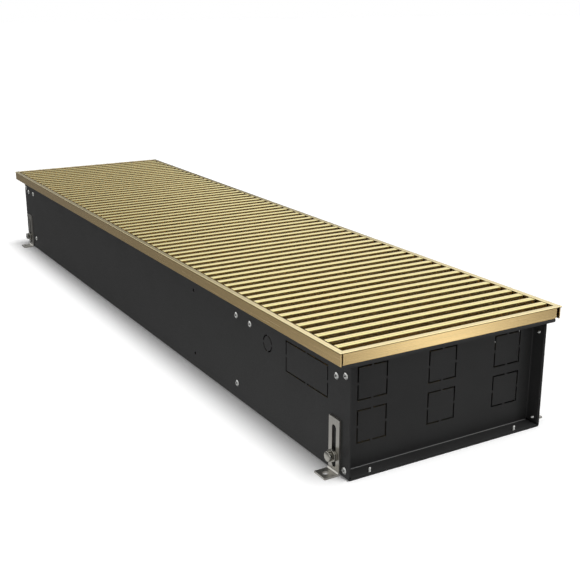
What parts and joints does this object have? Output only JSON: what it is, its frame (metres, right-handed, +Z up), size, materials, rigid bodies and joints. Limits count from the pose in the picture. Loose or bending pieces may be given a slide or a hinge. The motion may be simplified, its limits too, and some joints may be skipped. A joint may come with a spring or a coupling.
{
  "type": "trench convector heater",
  "caption": "Floor trench heater: folded black steel trough with knockouts, champagne-gold frame and roll-up bar grille, finned copper exchanger inside, adjustable feet.",
  "frame": {"origin": "centre of the casing at its base: X and Y at the middle of the bounding box, Z on the floor plane under the trough", "axes": "+X along the casing's length towards the connection end (the near end of the picture), +Y across its width towards the back wall, +Z up"},
  "size_m": [1.1, 0.287, 0.137],
  "materials": {
    "casing_paint": "black polyester powder coat, slightly textured satin",
    "gold_anodised": "champagne-gold anodised aluminium, satin",
    "rubber_strip": "black rubber damping strip, matt",
    "zinc_screw": "bright zinc-plated screw",
    "galvanised": "galvanised sheet steel",
    "stainless": "brushed stainless steel",
    "copper_tube": "drawn copper tube, slightly dulled",
    "fin_aluminium": "plain aluminium fin stock",
    "black_support": "black powder-coated sheet steel",
    "grommet_rubber": "black rubber grommet",
    "brass_fitting": "turned brass",
    "sleeve_plastic": "black plastic sleeve",
    "wire_rope": "stainless wire rope"
  },
  "bodies": {
    "casing": {"casing_trough": "casing_paint", "end_plate_near": "casing_paint", "end_plate_far": "casing_paint", "frame_profile_front": "gold_anodised", "frame_profile_back": "gold_anodised", "frame_profile_near": "gold_anodised", "frame_profile_far": "gold_anodised", "rubber_strip_front": "rubber_strip", "rubber_strip_back": "rubber_strip", "end_plate_wall_screws": "zinc_screw", "end_plate_floor_screws": "zinc_screw", "support_screws": "zinc_screw", "backing_plate_screws": "zinc_screw", "brace_screws": "zinc_screw", "cross_brace": "galvanised", "foot_backing_plates": "galvanised", "flow_tube": "copper_tube", "return_tube": "copper_tube", "upper_tube_front": "copper_tube", "upper_tube_back": "copper_tube", "return_bend_front": "copper_tube", "return_bend_back": "copper_tube", "crossover_bend": "copper_tube", "fin_pack": "fin_aluminium", "exchanger_support_near": "black_support", "exchanger_support_far": "black_support", "tube_grommets_near": "grommet_rubber", "tube_grommets_far": "grommet_rubber", "flow_connection": "brass_fitting", "return_connection": "brass_fitting", "air_vent_body": "brass_fitting"},
    "foot_near_front": {"foot_near_front": "stainless"},
    "foot_near_back": {"foot_near_back": "stainless"},
    "foot_far_front": {"foot_far_front": "stainless"},
    "foot_far_back": {"foot_far_back": "stainless"},
    "clamp_bolt_near_front": {"clamp_bolt_near_front": "stainless"},
    "clamp_bolt_near_back": {"clamp_bolt_near_back": "stainless"},
    "clamp_bolt_far_front": {"clamp_bolt_far_front": "stainless"},
    "clamp_bolt_far_back": {"clamp_bolt_far_back": "stainless"},
    "air_vent_screw": {"air_vent_screw": "brass_fitting"},
    "grille": {"grille_bars_main": "gold_anodised", "grille_sleeves_main": "sleeve_plastic", "grille_ropes_main": "wire_rope"},
    "roll_bar_1": {"grille_bar_1": "gold_anodised", "grille_link_1": "sleeve_plastic"},
    "roll_bar_2": {"grille_bar_2": "gold_anodised", "grille_link_2": "sleeve_plastic"},
    "roll_bar_3": {"grille_bar_3": "gold_anodised", "grille_link_3": "sleeve_plastic"},
    "roll_bar_4": {"grille_bar_4": "gold_anodised", "grille_link_4": "sleeve_plastic"},
    "roll_bar_5": {"grille_bar_5": "gold_anodised", "grille_link_5": "sleeve_plastic"},
    "roll_bar_6": {"grille_bar_6": "gold_anodised", "grille_link_6": "sleeve_plastic"},
    "roll_bar_7": {"grille_bar_7": "gold_anodised", "grille_link_7": "sleeve_plastic"},
    "roll_bar_8": {"grille_bar_8": "gold_anodised", "grille_link_8": "sleeve_plastic"}
  },
  "joints": [
    {"name": "foot_height_near_front", "type": "slide", "parent": "casing", "child": "foot_near_front", "axis": [0, 0, 1], "range_m": [-0.0285, 0.006]},
    {"name": "foot_height_near_back", "type": "slide", "parent": "casing", "child": "foot_near_back", "axis": [0, 0, 1], "range_m": [-0.0285, 0.006]},
    {"name": "foot_height_far_front", "type": "slide", "parent": "casing", "child": "foot_far_front", "axis": [0, 0, 1], "range_m": [-0.0285, 0.006]},
    {"name": "foot_height_far_back", "type": "slide", "parent": "casing", "child": "foot_far_back", "axis": [0, 0, 1], "range_m": [-0.0285, 0.006]},
    {"name": "clamp_bolt_turn_near_front", "type": "hinge", "parent": "casing", "child": "clamp_bolt_near_front", "pos_m": [0.5215, -0.1271, 0.0193], "axis": [0, -1, 0], "continuous": true},
    {"name": "clamp_bolt_turn_near_back", "type": "hinge", "parent": "casing", "child": "clamp_bolt_near_back", "pos_m": [0.5215, 0.1271, 0.0193], "axis": [0, 1, 0], "continuous": true},
    {"name": "clamp_bolt_turn_far_front", "type": "hinge", "parent": "casing", "child": "clamp_bolt_far_front", "pos_m": [-0.5215, -0.1271, 0.0193], "axis": [0, -1, 0], "continuous": true},
    {"name": "clamp_bolt_turn_far_back", "type": "hinge", "parent": "casing", "child": "clamp_bolt_far_back", "pos_m": [-0.5215, 0.1271, 0.0193], "axis": [0, 1, 0], "continuous": true},
    {"name": "air_vent_turn", "type": "hinge", "parent": "casing", "child": "air_vent_screw", "pos_m": [0.332, 0, 0.0876], "axis": [0, 0, 1], "range_deg": [0, 720]},
    {"name": "grille_lift", "type": "slide", "parent": "casing", "child": "grille", "axis": [0, 0, 1], "range_m": [0, 0.06]},
    {"name": "grille_roll_1", "type": "hinge", "parent": "grille", "child": "roll_bar_1", "pos_m": [0.39605, 0, 0.12842], "axis": [0, -1, 0], "range_deg": [0, 30]},
    {"name": "grille_roll_2", "type": "hinge", "parent": "roll_bar_1", "child": "roll_bar_2", "pos_m": [0.41375, 0, 0.12842], "axis": [0, -1, 0], "range_deg": [0, 30]},
    {"name": "grille_roll_3", "type": "hinge", "parent": "roll_bar_2", "child": "roll_bar_3", "pos_m": [0.43145, 0, 0.12842], "axis": [0, -1, 0], "range_deg": [0, 30]},
    {"name": "grille_roll_4", "type": "hinge", "parent": "roll_bar_3", "child": "roll_bar_4", "pos_m": [0.44915, 0, 0.12842], "axis": [0, -1, 0], "range_deg": [0, 30]},
    {"name": "grille_roll_5", "type": "hinge", "parent": "roll_bar_4", "child": "roll_bar_5", "pos_m": [0.46685, 0, 0.12842], "axis": [0, -1, 0], "range_deg": [0, 30]},
    {"name": "grille_roll_6", "type": "hinge", "parent": "roll_bar_5", "child": "roll_bar_6", "pos_m": [0.48455, 0, 0.12842], "axis": [0, -1, 0], "range_deg": [0, 30]},
    {"name": "grille_roll_7", "type": "hinge", "parent": "roll_bar_6", "child": "roll_bar_7", "pos_m": [0.50225, 0, 0.12842], "axis": [0, -1, 0], "range_deg": [0, 30]},
    {"name": "grille_roll_8", "type": "hinge", "parent": "roll_bar_7", "child": "roll_bar_8", "pos_m": [0.51995, 0, 0.12842], "axis": [0, -1, 0], "range_deg": [0, 30]}
  ],
  "couplings": [
    {"joint": "grille_roll_2", "follows": "grille_roll_1", "ratio": 1},
    {"joint": "grille_roll_3", "follows": "grille_roll_1", "ratio": 1},
    {"joint": "grille_roll_4", "follows": "grille_roll_1", "ratio": 1},
    {"joint": "grille_roll_5", "follows": "grille_roll_1", "ratio": 1},
    {"joint": "grille_roll_6", "follows": "grille_roll_1", "ratio": 1},
    {"joint": "grille_roll_7", "follows": "grille_roll_1", "ratio": 1},
    {"joint": "grille_roll_8", "follows": "grille_roll_1", "ratio": 1}
  ]
}
